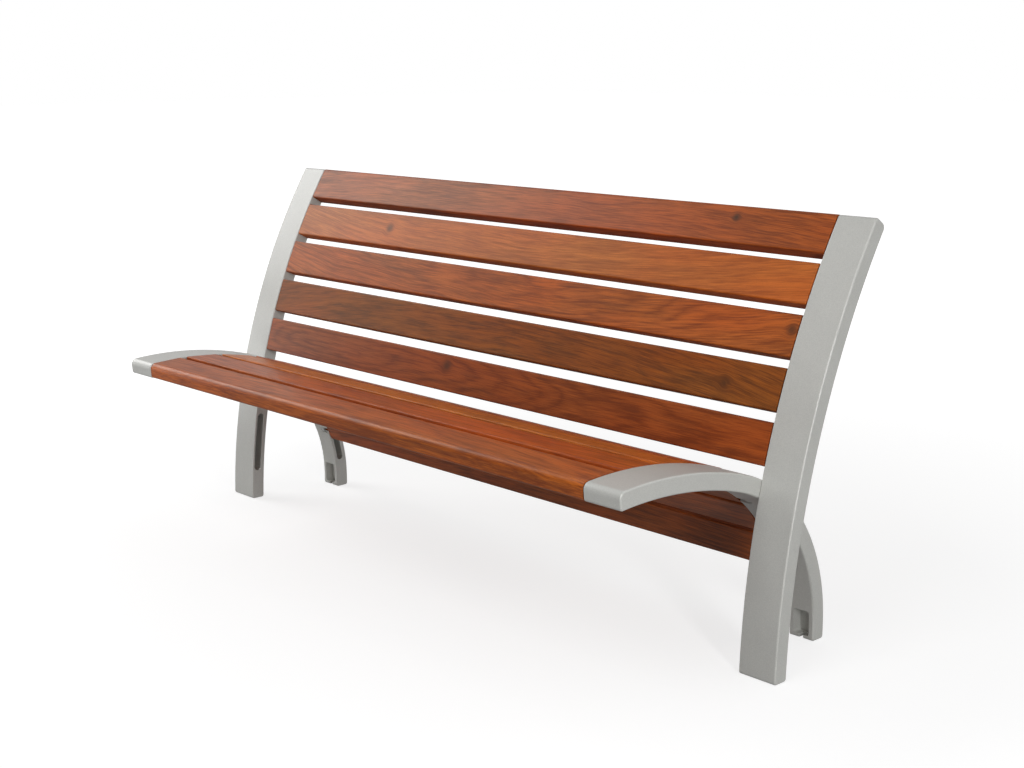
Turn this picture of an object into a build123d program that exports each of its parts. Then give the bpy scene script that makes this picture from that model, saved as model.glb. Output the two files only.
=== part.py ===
from build123d import *

import os
from math import atan2, cos, degrees, hypot, radians, sin, sqrt

# Street bench with a backrest: curved aluminium castings carry hardwood slats.
# At each end an upright (front leg and back post in one arc) stands outside a seat bearer (seat
# end and rear leg in one sweep). The two cross side by side and are bolted together there.
# All slats are boards of one section. Their tenons sit in the castings, held by hidden screws.
# X runs along the bench, the sitter faces -Y, and Z = 0 is the ground. Sizes are in millimetres.

os.makedirs("parts", exist_ok=True)

# Overall length, over the outer faces of the two uprights
bench_length = 1800.0

# Slats, one board section for the seat and the back
slat_width = 84.0
slat_thickness = 35.0
slat_edge_radius = 3.0
slat_end_gap = 2.0
back_slat_count = 5
back_slat_gap = 21.0
seat_slat_count = 7
seat_slat_gap = 15.0

# Tenons on the slat ends, and the room that they have in the castings
tenon_width = 56.0
tenon_thickness = 16.0
tenon_length = 40.0
tenon_end_room = 2.0
fit_clearance = 0.3

# Walls and edges that all castings share
casting_wall = 7.0
casting_edge_radius = 3.5
inner_edge_radius = 2.0
foot_edge_radius = 6.0

# Uprights
upright_width = 85.5
upright_radius = 1648.0
upright_foot_lean = 1.54
seat_back_gap = 24.5
top_front_radius = 7.0
top_rear_radius = 12.0
leg_slot_width = 19.0
leg_slot_length = 153.0
leg_slot_bottom = 76.0
leg_slot_front_wall = 5.0
leg_slot_outer_wall = 8.0

# Seat bearers
arm_width = 88.5
arm_radius = 842.0
bend_radius = 341.0
bend_tilt = 16.0
nose_top_radius = 14.0
nose_bottom_radius = 6.0
nose_lap = 1.0
bearer_web = 8.0
channel_room = 1.7
rear_leg_width = 56.5
rear_leg_straight = 31.0
rear_leg_setback = 233.5
last_slat_run = 144.0

# Rear feet, each with a pocket and an open slot for a floor anchor
foot_flange = 8.0
foot_inner_wall = 8.0
foot_outer_wall = 10.5
foot_back_wall = 11.0
foot_pocket_height = 52.0
foot_pocket_radius = 6.0
foot_rib = 14.0
anchor_slot_width = 12.0
anchor_slot_reach = 20.0

# Slat screws
screw_diameter = 8.0
screw_head_diameter = 14.0
screw_head_height = 3.6
screw_sink = 0.4
screw_inset = 24.0
screw_tip_room = 3.0
screw_clearance = 0.2
seat_screw_offset = 17.0
access_slot_room = 1.0

# Bolts that join each bearer to its upright
bolt_diameter = 8.0
bolt_head_diameter = 13.0
bolt_head_height = 8.0
bolt_head_gap = 5.0
bolt_bite = 30.0
bolt_socket = 6.0
bolt_socket_depth = 4.0

# Places along X
upright_inner_x = bench_length / 2 - upright_width
arm_inner_x = upright_inner_x - arm_width
leg_inner_x = upright_inner_x - rear_leg_width
web_inner_x = upright_inner_x - bearer_web

# Depths into a slat or a casting, from its front or lower face
tenon_depth = casting_wall + fit_clearance
channel_height = tenon_thickness + fit_clearance + channel_room
upright_depth = slat_thickness
screw_recess = screw_head_height + screw_sink
screw_bite = tenon_thickness - screw_tip_room

# Side view of a bearer: straight foot, tight bend and shallow arm, each tangent to the next.
# Side views take Y from the uprights' front foot edge. A run is a length along a bearer's middle.
bend_middle = bend_radius + slat_thickness / 2
arm_middle = arm_radius + slat_thickness / 2
bend_y = rear_leg_setback - bend_radius
bend_z = rear_leg_straight
arm_y = bend_y - (arm_radius - bend_radius) * sin(radians(bend_tilt))
arm_z = bend_z - (arm_radius - bend_radius) * cos(radians(bend_tilt))
arm_start_run = rear_leg_straight + bend_middle * radians(90 - bend_tilt)
seat_slat_pitch = slat_width + seat_slat_gap
shoulder_run = last_slat_run + seat_slat_pitch - seat_slat_gap / 2
nose_run = last_slat_run + seat_slat_count * seat_slat_pitch - seat_slat_gap + nose_lap
channel_low_run = foot_flange + foot_pocket_height + foot_rib
channel_high_run = nose_run - nose_lap - (slat_width - tenon_width) / 2 + channel_room

# Side view of an upright: two arcs about one centre far behind the bench
upright_y = upright_radius * cos(radians(upright_foot_lean))
upright_z = -upright_radius * sin(radians(upright_foot_lean))


def crossing(depth, rise):
    """Side-view point where the upright's arc at a depth crosses the bearer's bend at a rise."""
    upright_arc = upright_radius - depth
    bend_arc = bend_radius + rise
    span = hypot(upright_y - bend_y, upright_z - bend_z)
    along = (span**2 + bend_arc**2 - upright_arc**2) / (2 * span)
    across = sqrt(bend_arc**2 - along**2)
    unit_y = (upright_y - bend_y) / span
    unit_z = (upright_z - bend_z) / span
    return bend_y + along * unit_y - across * unit_z, bend_z + along * unit_z + across * unit_y


def upright_place(climb, depth=0.0):
    """Point and tilt on an upright, `climb` up its front arc and `depth` behind that face."""
    lean = radians(upright_foot_lean) + climb / upright_radius
    radius = upright_radius - depth
    point = (upright_y - radius * cos(lean), upright_z + radius * sin(lean))
    return point, 90 + degrees(lean)


def bearer_place(run, rise=0.0):
    """Point and tilt on a bearer, `run` from the ground and `rise` off its lower face."""
    if run <= rear_leg_straight:
        return (rear_leg_setback + rise, run), 90.0
    if run <= arm_start_run:
        centre_y, centre_z, radius = bend_y, bend_z, bend_radius + rise
        tilt = 90 - degrees((run - rear_leg_straight) / bend_middle)
    else:
        centre_y, centre_z, radius = arm_y, arm_z, arm_radius + rise
        tilt = bend_tilt - degrees((run - arm_start_run) / arm_middle)
    point = (centre_y + radius * sin(radians(tilt)), centre_z + radius * cos(radians(tilt)))
    return point, tilt


# Back slats are stacked up the uprights from a gap above the seat; the last one ends flush
seat_y, seat_z = crossing(0, slat_thickness)
seat_lean = atan2(seat_z - upright_z, upright_y - seat_y)
seat_climb = upright_radius * (seat_lean - radians(upright_foot_lean))
back_slat_pitch = slat_width + back_slat_gap
first_back_climb = seat_climb + seat_back_gap
top_climb = first_back_climb + back_slat_count * back_slat_pitch - back_slat_gap


def back_slat_place(number):
    """Middle of a back slat's front face, counted from the top."""
    return upright_place(top_climb - slat_width / 2 - number * back_slat_pitch)


def seat_slat_place(number):
    """Middle of a seat slat's lower face, counted from the front."""
    return bearer_place(nose_run - nose_lap - slat_width / 2 - number * seat_slat_pitch)


def seat_slat_wall(number):
    """X of the casting face that a seat slat's end butts against: the last one meets the leg."""
    return leg_inner_x if number == seat_slat_count - 1 else arm_inner_x


def bearer_line(rise, start, stop):
    """Draw a line along the bearer at a constant rise, split where its curvature changes."""
    bends = [run for run in (rear_leg_straight, arm_start_run) if start < run < stop]
    stations = [start, *bends, stop]
    for low, high in zip(stations, stations[1:]):
        first, middle, last = (bearer_place(run, rise)[0] for run in (low, (low + high) / 2, high))
        if high <= rear_leg_straight:
            Line(first, last)
        else:
            ThreePointArc(first, middle, last)


def bearer_band(low_rise, high_rise, start, stop, radii):
    """Side-view face along the bearer, its corners rounded: start low, start high, stop low, high."""
    ends = [(run, rise) for run in (start, stop) for rise in (low_rise, high_rise)]
    corners = [bearer_place(run, rise)[0] for run, rise in ends]
    with BuildSketch() as band:
        with BuildLine():
            bearer_line(low_rise, start, stop)
            bearer_line(high_rise, start, stop)
            Line(corners[0], corners[1])
            Line(corners[2], corners[3])
        make_face()
        round_corners(band, corners, radii)
    return band.sketch


def round_corners(sketch, corners, radii):
    """Round each corner of a sketch that has a radius."""
    for corner, radius in zip(corners, radii):
        if radius > 0:
            fillet(sketch.vertices().sort_by_distance(corner)[0], radius)


def upright_band():
    """Side-view face of an upright, with its rounded top and eased foot."""
    foot_front, foot_rear = (0, 0), (upright_depth, 0)
    top_front = upright_place(top_climb)[0]
    top_rear = upright_place(top_climb, upright_depth)[0]
    with BuildSketch() as band:
        with BuildLine():
            ThreePointArc(foot_front, upright_place(top_climb / 2)[0], top_front)
            Line(top_front, top_rear)
            ThreePointArc(top_rear, upright_place(top_climb / 2, upright_depth)[0], foot_rear)
            Line(foot_rear, foot_front)
        make_face()
        corners = (foot_front, foot_rear, top_front, top_rear)
        radii = (foot_edge_radius, foot_edge_radius, top_front_radius, top_rear_radius)
        round_corners(band, corners, radii)
    return band.sketch


# Side views that several steps use, and the middle of the bench from front to rear
upright_side = upright_band()
bearer_radii = (foot_edge_radius, foot_edge_radius, nose_bottom_radius, nose_top_radius)
bearer_side = bearer_band(0, slat_thickness, 0, nose_run, bearer_radii)
middle_y = (bearer_side.bounding_box().min.X + upright_side.bounding_box().max.X) / 2


def side_plane(x):
    """Plane of the side view at `x`."""
    return Plane(origin=(x, -middle_y, 0), x_dir=(0, 1, 0), z_dir=(1, 0, 0))


def section_plane(place, x):
    """Plane of a slat's section at `x`: thickness to the right from its face, width upwards."""
    (y, z), tilt = place
    thickness_dir = (0, sin(radians(tilt)), cos(radians(tilt)))
    return Plane(origin=(x, y - middle_y, z), x_dir=thickness_dir, z_dir=(1, 0, 0))


def face_plane(place, x, depth, along=0.0):
    """Plane parallel to a slat's face, `depth` below it, facing away from the slat's front."""
    section = section_plane(place, x)
    origin = section.origin + section.x_dir * depth + section.y_dir * along
    return Plane(origin=origin, x_dir=(1, 0, 0), z_dir=section.x_dir)


def back_screw_plane(number):
    """Where a back screw enters the rear of the right upright, facing out."""
    return face_plane(back_slat_place(number), upright_inner_x + screw_inset, upright_depth)


def seat_screw_plane(number):
    """Where a seat screw enters the lower face of the right bearer, facing out."""
    x = seat_slat_wall(number) + screw_inset
    inward = face_plane(seat_slat_place(number), x, 0, -seat_screw_offset)
    return Plane(origin=inward.origin, x_dir=(1, 0, 0), z_dir=-inward.z_dir)


# Frame bolts stand side by side along the bearer, where its channel crosses the upright
bolt_y, bolt_z = crossing(upright_depth / 2, casting_wall + channel_height / 2)
bolt_spacing = bolt_head_diameter + bolt_head_gap
bolt_turn = degrees(atan2(bolt_y - bend_y, bolt_z - bend_z))


def bolt_circles(diameter):
    """Draw one circle for each frame bolt, in the side view."""
    with Locations(Location((bolt_y, bolt_z, 0), -bolt_turn)):
        with GridLocations(bolt_spacing, 0, 2, 1):
            Circle(diameter / 2)


def export_piece(piece, name):
    """Name a finished piece and write its file."""
    piece.label = name
    export_step(piece, f"parts/{name}.step")


def export_pair(piece, name):
    """Write a right-hand piece, and its mirror image for the left end."""
    export_piece(piece, f"right_{name}")
    export_piece(mirror(piece, about=Plane.YZ), f"left_{name}")


# Uprights: heavy arcs with a mortise for each back slat and a long cored slot in the front leg
with BuildPart() as upright:
    with BuildSketch(side_plane(upright_inner_x)):
        add(upright_side)
    extrude(amount=upright_width)
    fillet(upright.edges().group_by(Axis.X)[-1], casting_edge_radius)
    fillet(upright.edges().group_by(Axis.X)[0], inner_edge_radius)

    slot_depth = leg_slot_front_wall + leg_slot_width / 2
    slot_low = leg_slot_bottom + leg_slot_width / 2
    slot_high = leg_slot_bottom + leg_slot_length - leg_slot_width / 2
    with BuildSketch(side_plane(upright_inner_x)):
        with BuildLine(mode=Mode.PRIVATE) as slot_middle:
            slot_runs = (slot_low, (slot_low + slot_high) / 2, slot_high)
            ThreePointArc(*(upright_place(climb, slot_depth)[0] for climb in slot_runs))
        SlotArc(slot_middle.edge(), leg_slot_width)
    extrude(amount=upright_width - leg_slot_outer_wall, mode=Mode.SUBTRACT)

    for number in range(back_slat_count):
        with BuildSketch(section_plane(back_slat_place(number), upright_inner_x)):
            with Locations((tenon_depth + tenon_thickness / 2, 0)):
                Rectangle(tenon_thickness + 2 * fit_clearance, tenon_width + 2 * fit_clearance)
        extrude(amount=tenon_length + tenon_end_room, mode=Mode.SUBTRACT)
        with Locations(back_screw_plane(number)):
            CounterBoreHole(
                screw_diameter / 2 + screw_clearance,
                screw_head_diameter / 2 + screw_clearance,
                screw_recess,
                upright_depth - tenon_depth - tenon_thickness,
            )

    with BuildSketch(side_plane(upright_inner_x)):
        bolt_circles(bolt_diameter + 2 * screw_clearance)
    extrude(amount=bolt_bite + fit_clearance, mode=Mode.SUBTRACT)

export_pair(upright.part, "upright")

# Seat bearers: channels that open towards the slats, wide along the seat and slim at the rear leg
with BuildPart() as bearer:
    with BuildSketch(side_plane(leg_inner_x)):
        add(bearer_side)
    extrude(amount=rear_leg_width)
    arm_radii = (0, 0, nose_bottom_radius, nose_top_radius)
    with BuildSketch(side_plane(arm_inner_x)):
        add(bearer_band(0, slat_thickness, shoulder_run, nose_run, arm_radii))
    extrude(amount=arm_width)
    fillet(bearer.edges().group_by(Axis.X)[-1], casting_edge_radius)
    fillet(bearer.edges().group_by(Axis.X)[0], inner_edge_radius)

    channel_end_radius = channel_height / 2 - fit_clearance
    channel_radii = (channel_end_radius, channel_end_radius, 0, 0)
    channel_top = casting_wall + channel_height
    with BuildSketch(side_plane(arm_inner_x)):
        add(bearer_band(casting_wall, channel_top, channel_low_run, channel_high_run, channel_radii))
    extrude(amount=arm_width - bearer_web, mode=Mode.SUBTRACT)

    # Each screw has a stepped slot in the lower wall, open at the inner edge, that its head slides in
    head_slot_width = screw_head_diameter + 2 * access_slot_room
    shank_slot_width = screw_diameter + 2 * screw_clearance
    for number in range(seat_slat_count):
        slot_start = seat_screw_plane(number).offset(casting_wall)
        for width, depth in ((head_slot_width, screw_recess), (shank_slot_width, tenon_depth)):
            with BuildSketch(slot_start):
                Circle(width / 2)
                with Locations((-screw_inset, 0)):
                    Rectangle(2 * screw_inset, width)
            extrude(amount=-casting_wall - depth, mode=Mode.SUBTRACT)

    foot_pocket_width = rear_leg_width - foot_inner_wall - foot_outer_wall
    foot_pocket_x = leg_inner_x + foot_inner_wall + foot_pocket_width / 2
    foot_front_y = rear_leg_setback - middle_y
    with BuildSketch(Plane.XZ.offset(-foot_front_y)):
        with Locations((foot_pocket_x, foot_flange + foot_pocket_height / 2)):
            RectangleRounded(foot_pocket_width, foot_pocket_height, foot_pocket_radius)
    extrude(amount=slat_thickness - foot_back_wall, both=True, mode=Mode.SUBTRACT)
    anchor_y = foot_front_y + anchor_slot_reach - anchor_slot_width / 2
    with BuildSketch(Plane.XY):
        with Locations((foot_pocket_x, anchor_y)):
            Circle(anchor_slot_width / 2)
        with Locations((foot_pocket_x, anchor_y - anchor_slot_reach / 2)):
            Rectangle(anchor_slot_width, anchor_slot_reach)
    extrude(amount=foot_flange, mode=Mode.SUBTRACT)

    with BuildSketch(side_plane(web_inner_x)):
        bolt_circles(bolt_diameter + 2 * screw_clearance)
    extrude(amount=bearer_web, mode=Mode.SUBTRACT)

export_pair(bearer.part, "seat_bearer")


def make_slat(place, wall_x, top_radii, screw_along):
    """A board across the bench with a tenon at each end; its upper edge can be rounded more."""
    half_length = wall_x - slat_end_gap
    with BuildPart() as slat:
        with BuildSketch(section_plane(place, -half_length)) as section:
            with Locations((slat_thickness / 2, 0)):
                Rectangle(slat_thickness, slat_width)
            corners = [(depth, end) for end in (-slat_width, slat_width) for depth in (0, slat_thickness)]
            round_corners(section, corners, (slat_edge_radius, slat_edge_radius, *top_radii))
        extrude(amount=2 * half_length)
        tenon_reach = wall_x + tenon_length
        with BuildSketch(section_plane(place, -tenon_reach)):
            with Locations((tenon_depth + tenon_thickness / 2, 0)):
                Rectangle(tenon_thickness, tenon_width)
        extrude(amount=2 * tenon_reach)
        with BuildSketch(face_plane(place, 0, tenon_depth, screw_along)):
            with GridLocations(2 * (wall_x + screw_inset), 0, 2, 1):
                Circle(screw_diameter / 2 + screw_clearance)
        extrude(amount=tenon_thickness, mode=Mode.SUBTRACT)
    return slat.part


eased_radii = (slat_edge_radius, slat_edge_radius)

# Back slats, counted from the top; the first is rounded like the tops of the uprights
for number in range(back_slat_count):
    radii = (top_front_radius, top_rear_radius) if number == 0 else eased_radii
    slat = make_slat(back_slat_place(number), upright_inner_x, radii, 0)
    export_piece(slat, f"back_slat_{number + 1}")

# Seat slats, counted from the front; the first is rounded like the noses of the bearers
for number in range(seat_slat_count):
    radii = (nose_bottom_radius, nose_top_radius) if number == 0 else eased_radii
    slat = make_slat(seat_slat_place(number), seat_slat_wall(number), radii, -seat_screw_offset)
    export_piece(slat, f"seat_slat_{number + 1}")


def add_screw(plane, wall):
    """A screw whose head is sunk into the face of the plane, through the wall into a tenon."""
    with Locations(plane.offset(-screw_recess)):
        upwards = (Align.CENTER, Align.CENTER, Align.MIN)
        downwards = (Align.CENTER, Align.CENTER, Align.MAX)
        Cylinder(screw_head_diameter / 2, screw_head_height, align=upwards)
        Cylinder(screw_diameter / 2, wall - screw_recess + screw_bite, align=downwards)


# Screws of the back slats, from behind each upright
with BuildPart() as back_screws:
    for number in range(back_slat_count):
        add_screw(back_screw_plane(number), upright_depth - tenon_depth - tenon_thickness)
export_pair(back_screws.part, "back_screws")

# Screws of the seat slats, from under each bearer
with BuildPart() as seat_screws:
    for number in range(seat_slat_count):
        add_screw(seat_screw_plane(number), tenon_depth)
export_pair(seat_screws.part, "seat_screws")

# Socket-head bolts, from the channel of each bearer into its upright
with BuildPart() as frame_bolts:
    with BuildSketch(side_plane(web_inner_x)):
        bolt_circles(bolt_diameter)
    extrude(amount=bearer_web + bolt_bite)
    with BuildSketch(side_plane(web_inner_x)):
        bolt_circles(bolt_head_diameter)
    extrude(amount=-bolt_head_height)
    with BuildSketch(side_plane(web_inner_x - bolt_head_height)):
        with Locations(Location((bolt_y, bolt_z, 0), -bolt_turn)):
            with GridLocations(bolt_spacing, 0, 2, 1):
                RegularPolygon(bolt_socket / 2, 6, major_radius=False)
    extrude(amount=bolt_socket_depth, mode=Mode.SUBTRACT)
export_pair(frame_bolts.part, "frame_bolts")
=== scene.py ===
import math

import bmesh
import bpy
from mathutils import Matrix, Vector


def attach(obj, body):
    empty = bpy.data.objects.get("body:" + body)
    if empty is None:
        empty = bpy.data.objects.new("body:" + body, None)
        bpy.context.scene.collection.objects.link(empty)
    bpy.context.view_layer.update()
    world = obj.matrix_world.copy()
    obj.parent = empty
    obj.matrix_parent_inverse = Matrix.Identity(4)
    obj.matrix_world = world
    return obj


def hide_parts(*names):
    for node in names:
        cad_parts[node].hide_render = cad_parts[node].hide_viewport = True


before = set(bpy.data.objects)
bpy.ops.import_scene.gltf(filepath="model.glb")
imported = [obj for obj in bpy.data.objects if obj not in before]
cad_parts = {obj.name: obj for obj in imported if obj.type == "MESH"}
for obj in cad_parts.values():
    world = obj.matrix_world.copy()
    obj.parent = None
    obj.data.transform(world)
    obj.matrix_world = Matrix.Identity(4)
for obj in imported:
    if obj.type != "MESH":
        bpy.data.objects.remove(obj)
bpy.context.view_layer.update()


# Uprights: front leg and back post in one curved aluminium casting at each end of the bench.
# Each is sand cast, blasted and finished with a satin silver powder coat.
# They stand on the ground and take the tenons of the back slats.

silver_coat = (0.58, 0.58, 0.55, 1)
silver_metallic = 0.15
silver_roughness = 0.50
flake_roughness = 0.08
flake_contrast = 0.13
cloud_contrast = 0.10
peel_contrast = 0.12
peel_strength = 0.18
peel_height = 0.0004
lacquer_weight = 0.35
lacquer_roughness = 0.2


def connect(tree, sockets, values):
    """Link or set the named sockets."""
    for name, value in values.items():
        if isinstance(value, bpy.types.NodeSocket):
            tree.links.new(value, sockets[name])
        else:
            sockets[name].default_value = value


def add_node(tree, kind, inputs=None, **settings):
    """Add a shader node, with its settings and with values or links for its inputs."""
    node = tree.nodes.new("ShaderNode" + kind)
    for name, value in settings.items():
        setattr(node, name, value)
    connect(tree, node.inputs, inputs or {})
    return node


def calculate(tree, operation, first, second=0.0, third=0.0):
    """Add a maths node and give its result."""
    return add_node(tree, "Math", {0: first, 1: second, 2: third}, operation=operation).outputs[0]


def sway(tree, value, strength):
    """A 0 to 1 value turned into a swing of that strength about zero."""
    return calculate(tree, "MULTIPLY_ADD", value, strength, -strength / 2)


def add_noise(tree, place, scale, detail):
    """Even noise from 0 to 1."""
    inputs = {"Vector": place, "Scale": scale, "Detail": detail}
    return add_node(tree, "TexNoise", inputs).outputs[0]


def mix_colours(tree, factor, first, second, blend="MIX"):
    """Mix two colours and give the result."""
    inputs = {0: factor, 6: first, 7: second}
    return add_node(tree, "Mix", inputs, data_type="RGBA", blend_type=blend).outputs[2]


def add_bump(tree, height, strength, distance):
    """The normal of a surface with that relief."""
    inputs = {"Height": height, "Strength": strength, "Distance": distance}
    return add_node(tree, "Bump", inputs).outputs["Normal"]


def new_group(name, inputs, outputs):
    """An empty shader node group with named sockets, and what it takes in and puts out."""
    group = bpy.data.node_groups.new(name, "ShaderNodeTree")
    for direction, sockets in (("INPUT", inputs), ("OUTPUT", outputs)):
        for socket, kind in sockets.items():
            group.interface.new_socket(socket, in_out=direction, socket_type="NodeSocket" + kind)
    taken = group.nodes.new("NodeGroupInput").outputs
    given = group.nodes.new("NodeGroupOutput").inputs
    return group, taken, given


def new_material(name):
    """A material with only its shader and output, its tree and the shader."""
    material = bpy.data.materials.new(name)
    material.use_nodes = True
    return material, material.node_tree, material.node_tree.nodes["Principled BSDF"]


# The coat is fine bright flakes in a soft grey, laid over a casting that isn't quite even
coat_group, coat_in, coat_out = new_group(
    "flake coat",
    {"Place": "Vector", "Coat": "Color"},
    {"Colour": "Color", "Roughness": "Float", "Height": "Float"},
)
flakes = add_node(coat_group, "TexVoronoi", {"Vector": coat_in["Place"], "Scale": 900.0})
flake = add_node(coat_group, "SeparateColor", {0: flakes.outputs["Color"]}).outputs[0]
peel = add_noise(coat_group, coat_in["Place"], scale=420.0, detail=3.0)
cloud = add_noise(coat_group, coat_in["Place"], scale=14.0, detail=4.0)
coat_level = 1.0
for pattern, contrast in ((flake, flake_contrast), (cloud, cloud_contrast), (peel, peel_contrast)):
    coat_level = calculate(coat_group, "ADD", sway(coat_group, pattern, contrast), coat_level)
levels = {0: coat_level, 1: coat_level, 2: coat_level}
grey = add_node(coat_group, "CombineColor", levels).outputs[0]
flake_shine = sway(coat_group, flake, flake_roughness)
connect(coat_group, coat_out, {
    "Colour": mix_colours(coat_group, 1.0, coat_in["Coat"], grey, "MULTIPLY"),
    "Roughness": calculate(coat_group, "ADD", flake_shine, silver_roughness),
    "Height": peel,
})

casting_silver, tree, shader = new_material("casting_silver")
place = add_node(tree, "TexCoord").outputs["Object"]
coat = add_node(tree, "Group", {"Coat": silver_coat, "Place": place}, node_tree=coat_group).outputs
connect(tree, shader.inputs, {
    "Base Color": coat["Colour"],
    "Roughness": coat["Roughness"],
    "Normal": add_bump(tree, coat["Height"], peel_strength, peel_height),
    "Metallic": silver_metallic,
    "Coat Weight": lacquer_weight,
    "Coat Roughness": lacquer_roughness,
})

for name in ("left_upright", "right_upright"):
    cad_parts[name].data.materials[0] = casting_silver


# Seat bearers: the seat end and the rear leg in one bent channel, inside each upright.
# They are cast and coated like the uprights, and bolted to them where the two cross.

for name in ("left_seat_bearer", "right_seat_bearer"):
    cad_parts[name].data.materials[0] = casting_silver


# Frame bolts: socket-head bolts of stainless steel in the channel of each bearer.
# They are turned bright and pull the bearer against the upright.

steel_dull = (0.55, 0.55, 0.54, 1)
steel_bright = (0.72, 0.72, 0.70, 1)
steel_roughness = 0.3
turning_roughness = 0.2

steel, tree, shader = new_material("turned_steel")
place = add_node(tree, "TexCoord").outputs["Object"]
turning = add_noise(tree, place, scale=1500.0, detail=2.0)
turned = sway(tree, turning, turning_roughness)
connect(tree, shader.inputs, {
    "Base Color": mix_colours(tree, turning, steel_dull, steel_bright),
    "Roughness": calculate(tree, "ADD", turned, steel_roughness),
    "Metallic": 1.0,
})

for name in ("left_frame_bolts", "right_frame_bolts"):
    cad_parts[name].data.materials[0] = steel


# Seat slats: seven boards of oiled tropical hardwood, planed and with eased edges.
# Their tenons lie in the channels of the bearers, and screws from below hold them.
# The front one is rounded like the bearers' noses.

# The board and its tenons
slat_edge_radius = 0.003
slat_edge_segments = 8
shoulder_easing = 0.0008
shoulder_segments = 2
slat_end_gap = 0.002
tenon_length = 0.040
tenon_width = 0.056
tenon_thickness = 0.016
tenon_depth = 0.0073
smooth_angle = math.radians(40)
hair = 1e-6
tenon_margin = 1e-4

# The grain, and the oil on it
knot_stain = (0.045, 0.020, 0.010, 1)
redder = (1.0, 0.88, 0.78, 1)
duller = (1.0, 1.12, 1.2, 1)
no_knot = (0, 1, 0.02)
seed_step = 7.31
pith_slope = 0.06
pith_offset = 0.02
pith_depth = 0.05
grain_wander = 0.03
ring_rate = 150.0
ring_drift = 0.10
ring_waver = 2.0
ring_mean = 0.33
pore_darkness = 0.35
fibre_height = 0.4
grain_strength = 0.06
grain_height = 0.0003
oiled_roughness = 0.36
streak_roughness = 0.2
sawn_roughness = 0.35
sawn_from = 0.0413
sawn_full = 0.0419
oil_specular = 0.34
oil_tint = (1.0, 0.94, 0.78, 1)

# Grain: fibres that bow along the board and part round a knot, growth rings, and dark stains
wood_group, wood_in, wood_out = new_group(
    "oiled hardwood",
    {
        "Board": "Vector",
        "Knot": "Vector",
        "Knot Size": "Float",
        "Bow": "Float",
        "Pith": "Vector",
        "Seed": "Float",
        "Pale": "Color",
        "Deep": "Color",
        "Stain": "Color",
        "Figure": "Float",
        "Staining": "Float",
        "Sawn": "Float",
    },
    {"Colour": "Color", "Roughness": "Float", "Height": "Float"},
)


def map_range(tree, value, low, high, at_low, at_high, curve="LINEAR"):
    """A value taken from one range to another, and held at its ends."""
    inputs = {0: value, 1: low, 2: high, 3: at_low, 4: at_high}
    return add_node(tree, "MapRange", inputs, interpolation_type=curve).outputs[0]


def ramp(value, low, high):
    """0 at the low value, 1 at the high one and smooth between, in the hardwood group."""
    return map_range(wood_group, value, low, high, 0.0, 1.0, "SMOOTHSTEP")


def wood_maths(operation, first, second=0.0, third=0.0):
    """A maths node of the hardwood group."""
    return calculate(wood_group, operation, first, second, third)


def wood_vector(operation, first, second=(0, 0, 0)):
    """A vector maths node of the hardwood group."""
    node = add_node(wood_group, "VectorMath", {0: first, 1: second}, operation=operation)
    return node.outputs["Value" if operation == "LENGTH" else "Vector"]


def split(vector):
    """The X, Y and Z of a vector in the hardwood group."""
    return add_node(wood_group, "SeparateXYZ", {0: vector}).outputs


def join(x, y, z=0.0):
    """A vector of the hardwood group from its X, Y and Z."""
    return add_node(wood_group, "CombineXYZ", {0: x, 1: y, 2: z}).outputs[0]


def wood_noise(place, squeeze, scale, detail, distortion=0.0):
    """Noise that is drawn out along the grain and differs from board to board."""
    inputs = {
        "Vector": wood_vector("MULTIPLY", place, (squeeze, 1, 1)),
        "W": wood_in["Seed"],
        "Scale": scale,
        "Detail": detail,
        "Roughness": 0.6,
        "Distortion": distortion,
    }
    return add_node(wood_group, "TexNoise", inputs, noise_dimensions="4D").outputs[0]


# A knot goes right through the board, so only its distance over the face counts
board = split(wood_in["Board"])
from_knot = wood_vector("SUBTRACT", wood_in["Board"], wood_in["Knot"])
knot_distance = wood_vector("LENGTH", wood_vector("MULTIPLY", from_knot, (1, 1, 0)))
knot_near = wood_maths("SUBTRACT", 1.0, ramp(knot_distance, 0.0, wood_in["Knot Size"]))
wander = wood_noise(wood_in["Board"], squeeze=0.5, scale=5.0, detail=2.0)
along_squared = wood_maths("MULTIPLY", board["X"], board["X"])
grain_y = wood_maths("MULTIPLY_ADD", along_squared, wood_in["Bow"], board["Y"])
grain_y = wood_maths("ADD", grain_y, sway(wood_group, wander, grain_wander))
knot_pull = wood_maths("MULTIPLY", split(from_knot)["Y"], knot_near)
grain_y = wood_maths("SUBTRACT", grain_y, knot_pull)
grain = join(board["X"], grain_y, board["Z"])
drift = wood_noise(grain, squeeze=0.30, scale=7.0, detail=2.0)
clouds = wood_noise(grain, squeeze=0.30, scale=22.0, detail=2.0)
bands = wood_noise(grain, squeeze=0.05, scale=55.0, detail=3.0, distortion=0.3)
streaks = wood_noise(grain, squeeze=0.045, scale=200.0, detail=4.0)
fibres = wood_noise(grain, squeeze=0.035, scale=520.0, detail=3.0)
pores = wood_noise(grain, squeeze=0.07, scale=2600.0, detail=1.0)
stains = wood_noise(grain, squeeze=0.15, scale=30.0, detail=5.0, distortion=0.8)
grain_strengths = ((drift, 0.9), (clouds, 1.1), (bands, 1.2), (streaks, 1.7), (fibres, 2.8))

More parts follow.
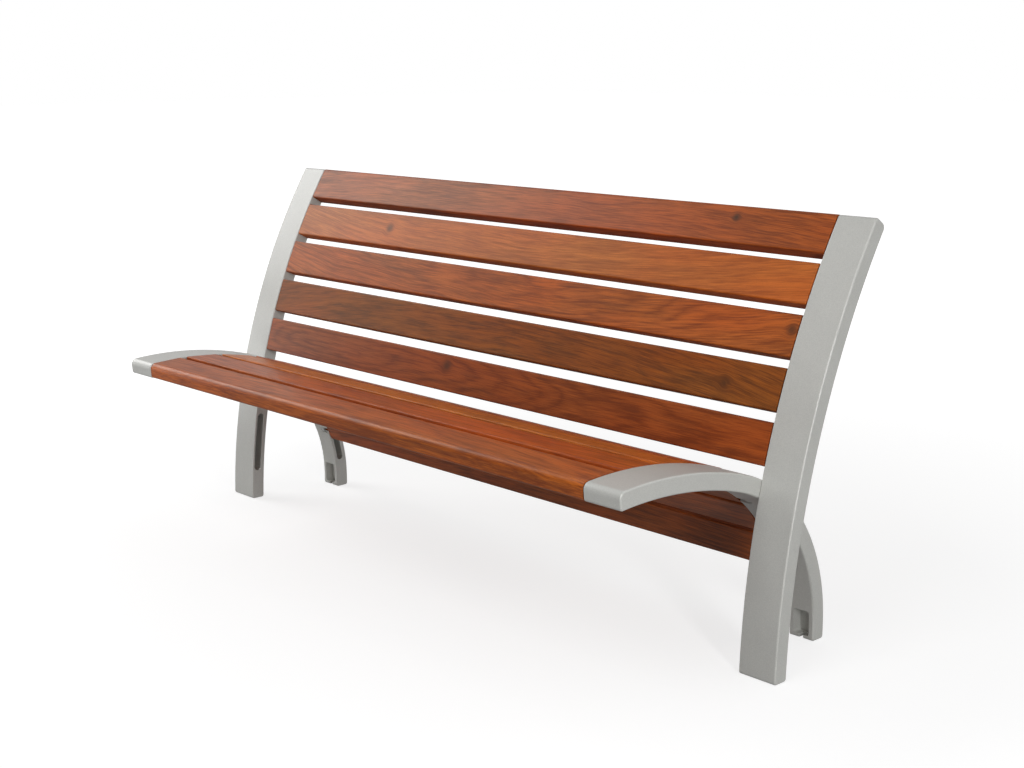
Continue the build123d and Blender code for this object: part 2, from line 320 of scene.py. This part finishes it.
# The pith runs askew under the board, so that the rings come out as long arches
pith = split(wood_in["Pith"])
ring_depth = wood_maths("MULTIPLY_ADD", board["X"], pith["X"], pith["Z"])
ring_depth = wood_maths("ADD", ring_depth, sway(wood_group, drift, ring_drift))
ring_place = join(wood_maths("ADD", grain_y, pith["Y"]), ring_depth)
ring_radius = wood_vector("LENGTH", ring_place)
ring_wobble = sway(wood_group, bands, ring_waver)
ring_count = wood_maths("MULTIPLY_ADD", ring_radius, ring_rate, ring_wobble)
rings = wood_maths("POWER", wood_maths("PINGPONG", ring_count, 1.0), 2.0)
depth = wood_maths("MULTIPLY_ADD", wood_maths("SUBTRACT", rings, ring_mean), wood_in["Figure"], 0.5)
for pattern, strength in grain_strengths:
    depth = wood_maths("ADD", depth, sway(wood_group, pattern, strength))
depth = add_node(wood_group, "Clamp", {0: depth}).outputs[0]
wood_colour = mix_colours(wood_group, depth, wood_in["Pale"], wood_in["Deep"])
blush = mix_colours(wood_group, ramp(drift, low=0.3, high=0.7), redder, duller)
wood_colour = mix_colours(wood_group, 1.0, wood_colour, blush, "MULTIPLY")

# Stains, the heart of a knot and the pores all darken towards one colour
stain_mask = wood_maths("MULTIPLY", ramp(stains, low=0.52, high=0.74), wood_in["Staining"])
knot_heart = wood_maths("MULTIPLY", knot_near, knot_near)
knot_mask = wood_maths("MULTIPLY", knot_heart, ramp(stains, low=0.15, high=0.68))
pore_mask = ramp(pores, low=0.60, high=0.72)
for mask in (stain_mask, knot_mask, wood_maths("MULTIPLY", pore_mask, pore_darkness)):
    wood_colour = mix_colours(wood_group, mask, wood_colour, wood_in["Stain"])

# The faces are planed and oiled, and the narrow edges are left rougher from the saw
sawn_edge = ramp(wood_maths("ABSOLUTE", board["Y"]), sawn_from, sawn_full)
edge_roughness = wood_maths("MULTIPLY_ADD", sawn_edge, wood_in["Sawn"], oiled_roughness)
streak_shine = sway(wood_group, streaks, streak_roughness)
fibre_relief = wood_maths("MULTIPLY", fibres, fibre_height)
connect(wood_group, wood_out, {
    "Colour": wood_colour,
    "Roughness": wood_maths("ADD", streak_shine, edge_roughness),
    "Height": wood_maths("SUBTRACT", fibre_relief, pore_mask),
})


def usual_pith(seed):
    """Where the pith of a board runs, a little different for each: its slope, offset and depth."""
    return (
        pith_slope * math.cos(seed * 2.3),
        pith_offset * math.sin(seed * 5.1),
        pith_depth * math.cos(seed * 3.7),
    )


def hardwood(
    name, turn, centre, seed, pale, deep, figure, staining,
    bow=0.0, knot=no_knot, pith=None, sawn=sawn_roughness,
):
    """Hardwood for one board, with the grain along it. A knot has its place and its size."""
    material, tree, shader = new_material(name)
    place = add_node(tree, "TexCoord").outputs["Object"]
    mapping = {"Vector": place, "Location": -(turn @ centre), "Rotation": turn.to_euler()}
    values = {
        "Board": add_node(tree, "Mapping", mapping).outputs[0],
        "Knot": (*knot[:2], 0),
        "Knot Size": knot[2],
        "Bow": bow,
        "Pith": pith or usual_pith(seed),
        "Seed": seed * seed_step,
        "Pale": (*pale, 1),
        "Deep": (*deep, 1),
        "Stain": knot_stain,
        "Figure": figure,
        "Staining": staining,
        "Sawn": sawn,
    }
    wood = add_node(tree, "Group", values, node_tree=wood_group).outputs
    connect(tree, shader.inputs, {
        "Base Color": wood["Colour"],
        "Roughness": wood["Roughness"],
        "Normal": add_bump(tree, wood["Height"], grain_strength, grain_height),
        "Specular IOR Level": oil_specular,
        "Specular Tint": oil_tint,
    })
    return material


def new_object(name, bm):
    """An object in the scene with the mesh of a bmesh, which is freed."""
    mesh = bpy.data.meshes.new(name)
    bm.to_mesh(mesh)
    bm.free()
    made = bpy.data.objects.new(name, mesh)
    bpy.context.scene.collection.objects.link(made)
    return made


def ease(bm, edges, radius, segments):
    """Round edges over."""
    bmesh.ops.bevel(
        bm, geom=edges, offset=radius, affect="EDGES", segments=segments, profile=0.5, material=-1
    )


def slat_shape(name, facing):
    """How a slat lies: the turn from the bench to its board, and its two corners there."""
    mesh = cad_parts[name].data
    broad = max(mesh.polygons, key=lambda face: face.area).normal
    show = broad if broad.dot(facing) > 0 else -broad
    along = Vector((1, 0, 0))
    turn = Matrix((along, show.cross(along), show))
    places = [turn @ vertex.co for vertex in mesh.vertices]
    low = Vector(min(place[axis] for place in places) for axis in range(3))
    high = Vector(max(place[axis] for place in places) for axis in range(3))
    return turn, low, high


def make_slat(name, facing, tenon_side, radii):
    """A board with tenons, built flat about its middle and laid where the frame has it."""
    turn, low, high = slat_shape(name, facing)
    centre = (low + high) / 2
    size = high - low
    tenon_reach = slat_end_gap + tenon_length
    size.x -= 2 * tenon_reach
    bm = bmesh.new()
    bmesh.ops.create_cube(bm, size=1)
    bmesh.ops.scale(bm, vec=size, verts=bm.verts)
    long_edges = [edge for edge in bm.edges if edge.calc_length() > size.x / 2]

    # Each end face is drawn in to the tenon's section and pulled out
    ends = [face for face in bm.faces if abs(face.normal.x) > 0.5]
    drawn_in = (size.z - tenon_thickness) / 2
    bmesh.ops.inset_individual(bm, faces=ends, thickness=drawn_in, use_even_offset=True)
    squeeze = tenon_width / (size.y - 2 * drawn_in)
    tenon_shift = tenon_side * (size.z / 2 - tenon_depth - tenon_thickness / 2)
    for end in ends:
        bmesh.ops.scale(bm, vec=(1, squeeze, 1), verts=end.verts)
        bmesh.ops.translate(bm, vec=(0, 0, tenon_shift), verts=end.verts)
        outward = math.copysign(tenon_reach, end.calc_center_median().x)
        pulled = bmesh.ops.extrude_discrete_faces(bm, faces=[end])["faces"][0]
        bmesh.ops.translate(bm, vec=(outward, 0, 0), verts=pulled.verts)

    # The long edges are eased, some of them more than others, and then the shoulders at the ends
    for edge in long_edges:
        middle = (edge.verts[0].co + edge.verts[1].co) / 2
        radius = radii.get((middle.y > 0, middle.z > 0), slat_edge_radius)
        ease(bm, [edge], radius, slat_edge_segments)
    rim = [
        edge
        for edge in bm.edges
        if all(abs(abs(vertex.co.x) - size.x / 2) < hair for vertex in edge.verts)
        and any(abs(face.normal.x) < 0.5 for face in edge.link_faces)
        and max(abs(vertex.co.y) for vertex in edge.verts) > tenon_width / 2 + tenon_margin
    ]
    ease(bm, rim, shoulder_easing, shoulder_segments)
    bm.transform(turn.transposed().to_4x4() @ Matrix.Translation(centre))
    slat = new_object(name + "_board", bm)
    slat.data.shade_smooth()
    slat.data.set_sharp_from_angle(angle=smooth_angle)
    slat.modifiers.new("even_faces", "WEIGHTED_NORMAL").keep_sharp = True
    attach(slat, "root")
    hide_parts(name)
    return slat, turn, turn.transposed() @ centre


seat_facing = Vector((0, 0.5, 1))
nose_radii = {(False, True): 0.014, (False, False): 0.006}
seat_woods = [
    {
        "pale": (0.560, 0.127, 0.013), "deep": (0.240, 0.041, 0.004),
        "figure": 0.25, "staining": 0.25, "bow": 0.05, "sawn": 0.0,
    },
    {
        "pale": (0.620, 0.122, 0.011), "deep": (0.278, 0.043, 0.004),
        "figure": 0.20, "staining": 0.15, "bow": -0.04,
    },
    {
        "pale": (0.780, 0.210, 0.028), "deep": (0.360, 0.078, 0.010),
        "figure": 0.20, "staining": 0.10, "bow": 0.03,
    },
    {
        "pale": (0.541, 0.114, 0.014), "deep": (0.240, 0.041, 0.005),
        "figure": 0.25, "staining": 0.20, "bow": -0.06,
    },
    # Slats 5 to 7 run down the bend at the back of the seat and face forward and down. Their darker
    # colours are partly the wood's own tone and partly painted shade.
    {
        "pale": (0.449, 0.099, 0.014), "deep": (0.186, 0.034, 0.004),
        "figure": 0.20, "staining": 0.25, "bow": 0.08,
    },
    {
        "pale": (0.463, 0.105, 0.014), "deep": (0.196, 0.036, 0.005),
        "figure": 0.25, "staining": 0.20, "bow": 0.02,
    },
    {
        "pale": (0.449, 0.094, 0.013), "deep": (0.174, 0.033, 0.004),
        "figure": 0.30, "staining": 0.30, "bow": -0.05,
    },
]
for number, wood in enumerate(seat_woods, start=1):
    radii = nose_radii if number == 1 else {}
    slat, turn, centre = make_slat(f"seat_slat_{number}", seat_facing, -1, radii)
    oiled = hardwood(f"seat_hardwood_{number}", turn, centre, number, **wood)
    slat.data.materials.append(oiled)


# Seat screws: one at each end of each seat slat, driven up from the bearer's lower wall.
# They are stainless steel with pan heads that sit in the access slots.

for name in ("left_seat_screws", "right_seat_screws"):
    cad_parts[name].data.materials[0] = steel


# Back slats: five boards of the same hardwood between the uprights, flush with their faces.
# They are counted from the top, and the first is rounded like the tops of the uprights.
# Their tenons sit in mortises in the uprights.

back_facing = Vector((0, -1, 0))
crest_radii = {(True, True): 0.007, (True, False): 0.012}
back_seed = 20
back_woods = [
    {
        "pale": (0.485, 0.104, 0.016), "deep": (0.216, 0.041, 0.006),
        "figure": 0.20, "staining": 0.25, "bow": 0.03, "knot": (0.58, 0.014, 0.021),
    },
    {
        "pale": (0.607, 0.162, 0.026), "deep": (0.360, 0.082, 0.012),
        "figure": 0.20, "staining": 0.10, "bow": -0.10, "knot": (-0.455, 0.003, 0.028),
    },
    {
        "pale": (0.540, 0.127, 0.021), "deep": (0.250, 0.052, 0.009),
        "figure": 0.45, "staining": 0.35, "bow": -0.10, "knot": (0.80, 0.010, 0.026),
    },
    {
        "pale": (0.355, 0.097, 0.014), "deep": (0.155, 0.041, 0.007),
        "figure": 0.25, "staining": 0.65, "bow": 0.10, "knot": (0.68, -0.008, 0.026),
    },
    {
        "pale": (0.395, 0.087, 0.016), "deep": (0.200, 0.038, 0.007),
        "figure": 0.55, "staining": 0.25, "knot": (-0.11, 0.016, 0.032), "pith": (0.10, 0.0, 0.05),
    },
]
for number, wood in enumerate(back_woods, start=1):
    radii = crest_radii if number == 1 else {}
    slat, turn, centre = make_slat(f"back_slat_{number}", back_facing, 1, radii)
    oiled = hardwood(f"back_hardwood_{number}", turn, centre, number + back_seed, **wood)
    slat.data.materials.append(oiled)


# Back screws: one behind each end of each back slat, sunk into the rear of the uprights.
# They are the same stainless screws as under the seat.

for name in ("left_back_screws", "right_back_screws"):
    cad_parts[name].data.materials[0] = steel


# Studio: a pale floor under a sky that is white behind the bench and dim in front of it,
# and five softboxes. The camera sees floor and sky as white, reflections see them too,
# and the floor keeps the shadow.

sky_low = 0.06
sky_high = 0.30
sky_back = 1.0
sky_left = 0.55
sky_bounce = 0.55
floor_size = 60.0
floor_grey = (0.36, 0.36, 0.36, 1)
floor_roughness = 0.9
floor_near = 1.2
floor_far = 4.0
floor_fill_near = 0.74
floor_fill_far = 1.0
floor_mirrored = 0.2
white = (1, 1, 1, 1)


def seen_directly(tree, mirrored=1.0):
    """1 for what the camera sees, a share of it in reflections and glass, 0 for bounced light."""
    path = add_node(tree, "LightPath").outputs
    glossy = calculate(tree, "MAXIMUM", path["Is Glossy Ray"], path["Is Transmission Ray"])
    glossy = calculate(tree, "MULTIPLY", glossy, mirrored)
    return calculate(tree, "MAXIMUM", path["Is Camera Ray"], glossy)


world = bpy.data.worlds.new("studio")
bpy.context.scene.world = world
world.use_nodes = True
tree = world.node_tree
ray = add_node(tree, "TexCoord").outputs["Generated"]
ray_part = add_node(tree, "SeparateXYZ", {0: ray}).outputs
front = map_range(tree, ray_part["Z"], low=0.0, high=0.8, at_low=sky_low, at_high=sky_high)
level = map_range(
    tree, ray_part["Y"], low=-0.3, high=0.5, at_low=front, at_high=sky_back, curve="SMOOTHSTEP"
)
side = map_range(tree, ray_part["X"], low=-0.9, high=0.2, at_low=sky_left, at_high=1.0)
level = calculate(tree, "MULTIPLY", level, side)
bounce = calculate(tree, "MULTIPLY_ADD", seen_directly(tree), 1 - sky_bounce, sky_bounce)
level = calculate(tree, "MULTIPLY", level, bounce)
level = calculate(tree, "MAXIMUM", level, add_node(tree, "LightPath").outputs["Is Camera Ray"])
connect(tree, tree.nodes["Background"].inputs, {"Color": white, "Strength": level})

bm = bmesh.new()
bmesh.ops.create_grid(bm, x_segments=1, y_segments=1, size=floor_size / 2)
floor = new_object("floor", bm)
floor_paint, tree, shader = new_material("floor_paint")
place = add_node(tree, "TexCoord").outputs["Object"]
distance = add_node(tree, "VectorMath", {0: place}, operation="LENGTH").outputs["Value"]
fill = map_range(tree, distance, floor_near, floor_far, floor_fill_near, floor_fill_far)
connect(tree, shader.inputs, {
    "Base Color": floor_grey,
    "Roughness": floor_roughness,
    "Specular IOR Level": 0.0,
    "Emission Color": white,
    "Emission Strength": calculate(tree, "MULTIPLY", fill, seen_directly(tree, floor_mirrored)),
})
floor.data.materials.append(floor_paint)


def add_softbox(name, place, target, width, height, power, spread=180):
    """A rectangular area light aimed at a point, with the spread of its beam in degrees."""
    light = bpy.data.lights.new(name, "AREA")
    light.shape = "RECTANGLE"
    light.size = width
    light.size_y = height
    light.energy = power
    light.spread = math.radians(spread)
    softbox = bpy.data.objects.new(name, light)
    softbox.location = place
    aim = Vector(target) - Vector(place)
    softbox.rotation_euler = aim.to_track_quat("-Z", "Y").to_euler()
    bpy.context.scene.collection.objects.link(softbox)


add_softbox(
    "left_softbox", (-3.8, -0.8, 2.8), (-0.3, 0.1, 0.6), width=2.2, height=2.6, power=74
)
add_softbox(
    "left_fill", (-3.4, -1.1, 0.6), (-0.6, 0.0, 0.3), width=1.2, height=1.0, power=13
)
add_softbox(
    "low_fill", (-0.5, -2.4, 0.2), (-0.86, 0.15, 0.08), width=0.5, height=0.3, power=0.55, spread=40
)
add_softbox(
    "right_strip", (3.7, -1.6, 1.2), (0.9, 0.15, 0.5), width=0.35, height=2.2, power=64
)
add_softbox(
    "front_softbox", (0.9, -2.7, 3.3), (0.0, 0.0, 0.5), width=2.0, height=2.0, power=42
)

# The camera stands where the photograph was taken from, above the back and to the right
camera_place = Vector((2.5446, -2.1833, 1.1561))
camera_azimuth = math.radians(46.884)
camera_elevation = math.radians(12.09)
camera_roll = math.radians(-0.169)
camera_lens = 54.74
camera_sensor = 36.0
back = Vector((
    math.sin(camera_azimuth) * math.cos(camera_elevation),
    -math.cos(camera_azimuth) * math.cos(camera_elevation),
    math.sin(camera_elevation),
))
right = Vector((math.cos(camera_azimuth), math.sin(camera_azimuth), 0))
level_camera = Matrix((right, back.cross(right), back)).transposed().to_4x4()
rolled_camera = level_camera @ Matrix.Rotation(camera_roll, 4, "Z")
camera_data = bpy.data.cameras.new("camera")
camera_data.lens = camera_lens
camera_data.sensor_width = camera_sensor
camera = bpy.data.objects.new("camera", camera_data)
bpy.context.scene.collection.objects.link(camera)
camera.matrix_world = Matrix.Translation(camera_place) @ rolled_camera
bpy.context.scene.camera = camera
bpy.context.scene.view_settings.view_transform = "Standard"
